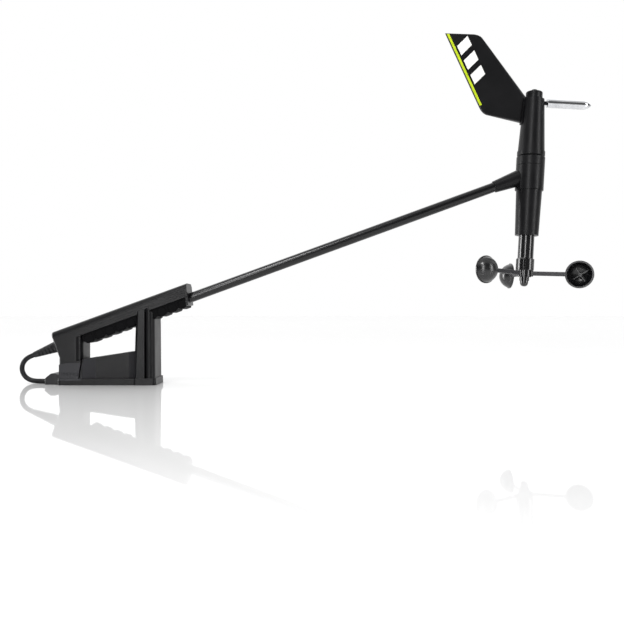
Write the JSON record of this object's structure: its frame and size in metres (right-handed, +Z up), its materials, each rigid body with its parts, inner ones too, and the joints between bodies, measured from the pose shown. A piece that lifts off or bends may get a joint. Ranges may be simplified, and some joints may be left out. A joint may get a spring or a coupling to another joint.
{
  "type": "vane anemometer",
  "caption": "Masthead wind sensor: a screw-down foot with a long sloping arm that carries a wind vane above and a cup rotor below, with a short looped cable at the rear.",
  "frame": {"origin": "centre of the rectangle of four mast screw holes, on the foot's underside", "axes": "+Z up, square to the foot's underside; +X along the foot, towards the end that carries the sensor head; the foot, arm and vane are symmetric about Y = 0"},
  "size_m": [0.592, 0.1068, 0.3623],
  "materials": {
    "satin_black": "satin",
    "gloss_black": "gloss",
    "blade_black": "satin",
    "black_aluminium": "satin",
    "black_rubber": "matte",
    "steel": "satin",
    "black_steel": "satin",
    "polished_steel": "polished",
    "lime": "satin",
    "white": "satin",
    "board_green": "satin"
  },
  "bodies": {
    "mast_unit": {"mast_foot": "satin_black", "leg_screws": "steel", "arm_housing": "satin_black", "rib_grip": "satin_black", "front_cap": "satin_black", "terminal_board": "board_green", "arm_tube": "black_aluminium", "clamp_sleeve": "satin_black", "clamp_screws": "steel", "signal_lead": "black_rubber", "socket_lead": "black_rubber", "rear_socket": "satin_black", "plug_coupling": "satin_black", "cable_plug": "black_rubber", "mast_cable": "black_rubber", "cable_boot": "black_rubber", "spindle_tube": "gloss_black", "lower_cone": "satin_black", "body_seal": "black_rubber", "rotor_sensor_board": "board_green", "centre_body": "satin_black", "collar_ring": "satin_black", "arm_socket": "satin_black", "bearing_tube": "black_aluminium", "rotor_bearing_lower": "steel", "rotor_bearing_upper": "steel", "vane_bearing_lower": "steel", "vane_bearing_upper": "steel", "vane_sensor_board": "board_green"},
    "wind_vane": {"vane_shaft": "steel", "vane_magnet": "steel", "vane_hub": "satin_black", "vane_cap": "satin_black", "cap_screw": "black_steel", "blade_saddle": "satin_black", "vane_blade": "blade_black", "vane_stripe": "lime", "vane_marks": "white", "counterweight_stem": "black_steel", "counterweight": "polished_steel"},
    "cup_rotor": {"rotor_shaft": "steel", "rotor_magnet": "steel", "rotor_hub": "gloss_black", "hub_grub_screw": "black_steel", "nose_nut": "gloss_black", "cup_arm_1": "gloss_black", "cup_arm_2": "gloss_black", "cup_arm_3": "gloss_black", "cup_1": "gloss_black", "cup_2": "gloss_black", "cup_3": "gloss_black"}
  },
  "joints": [
    {"name": "vane_spin", "type": "hinge", "parent": "mast_unit", "child": "wind_vane", "pos_m": [0.427, 0, 0.114], "axis": [0.0541, 0, 0.9985], "continuous": true},
    {"name": "cup_spin", "type": "hinge", "parent": "mast_unit", "child": "cup_rotor", "pos_m": [0.427, 0, 0.114], "axis": [0.0541, 0, 0.9985], "continuous": true}
  ]
}
